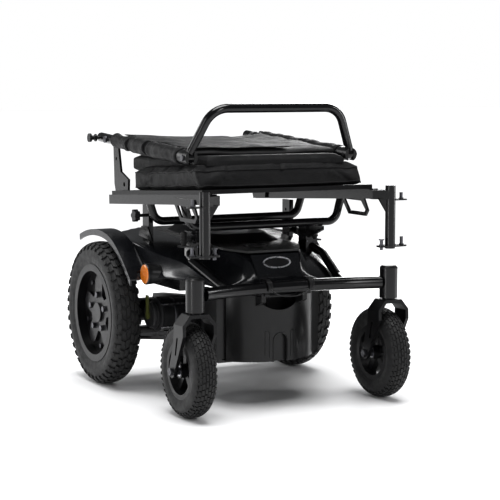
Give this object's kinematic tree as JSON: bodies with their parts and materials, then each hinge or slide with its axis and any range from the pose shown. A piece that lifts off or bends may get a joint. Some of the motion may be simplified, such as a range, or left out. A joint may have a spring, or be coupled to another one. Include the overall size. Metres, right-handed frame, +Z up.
{
  "type": "power wheelchair",
  "caption": "Rear-wheel-drive power wheelchair base with seat cushion, its back folded forward on the seat and a U-shaped push bar, without arms, footrests or control stick.",
  "frame": {"origin": "on the floor under the middle of the chair's overall box", "axes": "+X to the chair's left side, -Y to its front, +Z up"},
  "size_m": [0.6228, 0.7795, 0.724],
  "materials": {
    "tyre_black": "moulded black rubber with a block tread",
    "rim_black": "satin black",
    "hub_black": "satin black moulding",
    "frame_black": "semi-gloss black powder coat",
    "fork_black": "satin black powder coat",
    "bright_steel": "zinc plated",
    "dark_steel": "blackened",
    "motor_dark": "dark grey casting and paint",
    "lever_yellow": "yellow-green moulded",
    "battery_case": "matt black case",
    "controller_grey": "dark anodised",
    "shroud_black": "gloss black moulding",
    "cover_black": "satin black moulding",
    "badge_silver": "bright rim on a dark ground, no lettering",
    "light_amber": "amber reflector lens",
    "pan_black": "satin black sheet",
    "cushion_black": "black coated fabric over foam",
    "sling_black": "black woven upholstery",
    "strap_black": "black webbing",
    "stop_rubber": "ribbed black rubber",
    "knob_black": "moulded black",
    "bar_black": "gloss black"
  },
  "bodies": {
    "base": {"badge": "badge_silver", "base_shroud": "shroud_black", "batteries": "battery_case", "battery_cover": "cover_black", "caster_housings": "frame_black", "chassis_frame": "frame_black", "controller": "controller_grey", "fenders": "shroud_black", "front_tube": "frame_black", "front_uprights": "frame_black", "gearmotors": "motor_dark", "hanger_studs": "dark_steel", "hangers": "frame_black", "hinge_plates": "frame_black", "light_housings": "cover_black", "light_lenses": "light_amber", "nose_panel": "shroud_black", "pivot_bolts": "dark_steel", "rubber_stops": "stop_rubber", "seat_columns": "frame_black", "seat_cross_tubes": "frame_black", "seat_cushion": "cushion_black", "seat_pan": "pan_black", "seat_rails": "frame_black", "shroud_lid": "cover_black", "stem_bearings": "bright_steel", "stem_caps": "knob_black", "tie_down_loops": "frame_black", "upright_bolts": "dark_steel"},
    "drive_wheel_left": {"drive_tyre_left": "tyre_black", "drive_rim_left": "rim_black", "drive_hub_left": "hub_black", "lug_nuts_left": "dark_steel"},
    "caster_fork_left": {"caster_fork_left": "fork_black", "caster_axle_left": "dark_steel"},
    "caster_wheel_left": {"caster_tyre_left": "tyre_black", "caster_rim_left": "rim_black", "caster_bearings_left": "bright_steel"},
    "freewheel_lever_left": {"freewheel_lever_left": "lever_yellow"},
    "latch_knob_left": {"latch_knob_left": "knob_black"},
    "drive_wheel_right": {"drive_tyre_right": "tyre_black", "drive_rim_right": "rim_black", "drive_hub_right": "hub_black", "lug_nuts_right": "dark_steel"},
    "caster_fork_right": {"caster_fork_right": "fork_black", "caster_axle_right": "dark_steel"},
    "caster_wheel_right": {"caster_tyre_right": "tyre_black", "caster_rim_right": "rim_black", "caster_bearings_right": "bright_steel"},
    "freewheel_lever_right": {"freewheel_lever_right": "lever_yellow"},
    "latch_knob_right": {"latch_knob_right": "knob_black"},
    "backrest": {"back_posts": "frame_black", "back_sling": "sling_black", "back_straps": "strap_black", "back_pad": "sling_black", "post_clamps": "knob_black", "clamp_bolts": "dark_steel"},
    "push_bar": {"push_bar": "bar_black"},
    "star_knob": {"star_knob": "knob_black"}
  },
  "joints": [
    {"name": "drive_wheel_left_spin", "type": "hinge", "parent": "base", "child": "drive_wheel_left", "pos_m": [0.2764, 0.2058, 0.184], "axis": [1, 0, 0], "continuous": true},
    {"name": "caster_left_swivel", "type": "hinge", "parent": "base", "child": "caster_fork_left", "pos_m": [0.2616, -0.316, 0.29], "axis": [0, 0, 1], "continuous": true},
    {"name": "caster_left_spin", "type": "hinge", "parent": "caster_fork_left", "child": "caster_wheel_left", "pos_m": [0.2616, -0.2781, 0.1117], "axis": [1, 0, 0], "continuous": true},
    {"name": "freewheel_left_turn", "type": "hinge", "parent": "base", "child": "freewheel_lever_left", "pos_m": [0.234, 0.0158, 0.198], "axis": [1, 0, 0], "range_deg": [0, 60]},
    {"name": "latch_left_pull", "type": "slide", "parent": "backrest", "child": "latch_knob_left", "axis": [1, 0, 0], "range_m": [-0.006, 0.004], "stiffness_N_per_m": 300},
    {"name": "drive_wheel_right_spin", "type": "hinge", "parent": "base", "child": "drive_wheel_right", "pos_m": [-0.2764, 0.2058, 0.184], "axis": [1, 0, 0], "continuous": true},
    {"name": "caster_right_swivel", "type": "hinge", "parent": "base", "child": "caster_fork_right", "pos_m": [-0.2616, -0.316, 0.29], "axis": [0, 0, 1], "continuous": true},
    {"name": "caster_right_spin", "type": "hinge", "parent": "caster_fork_right", "child": "caster_wheel_right", "pos_m": [-0.2616, -0.2781, 0.1117], "axis": [1, 0, 0], "continuous": true},
    {"name": "freewheel_right_turn", "type": "hinge", "parent": "base", "child": "freewheel_lever_right", "pos_m": [-0.234, 0.0158, 0.198], "axis": [1, 0, 0], "range_deg": [0, 60]},
    {"name": "latch_right_pull", "type": "slide", "parent": "backrest", "child": "latch_knob_right", "axis": [-1, 0, 0], "range_m": [-0.006, 0.004], "stiffness_N_per_m": 300},
    {"name": "back_fold", "type": "hinge", "parent": "base", "child": "backrest", "pos_m": [0, 0.2858, 0.627], "axis": [-1, 0, 0], "range_deg": [0, 100]},
    {"name": "push_bar_turn", "type": "hinge", "parent": "backrest", "child": "push_bar", "pos_m": [0, -0.19535, 0.59841], "axis": [-1, 0, 0], "range_deg": [-55, 20]},
    {"name": "star_knob_turn", "type": "hinge", "parent": "base", "child": "star_knob", "pos_m": [-0.24, 0.0838, 0.442], "axis": [-1, 0, 0], "range_deg": [0, 540]}
  ]
}
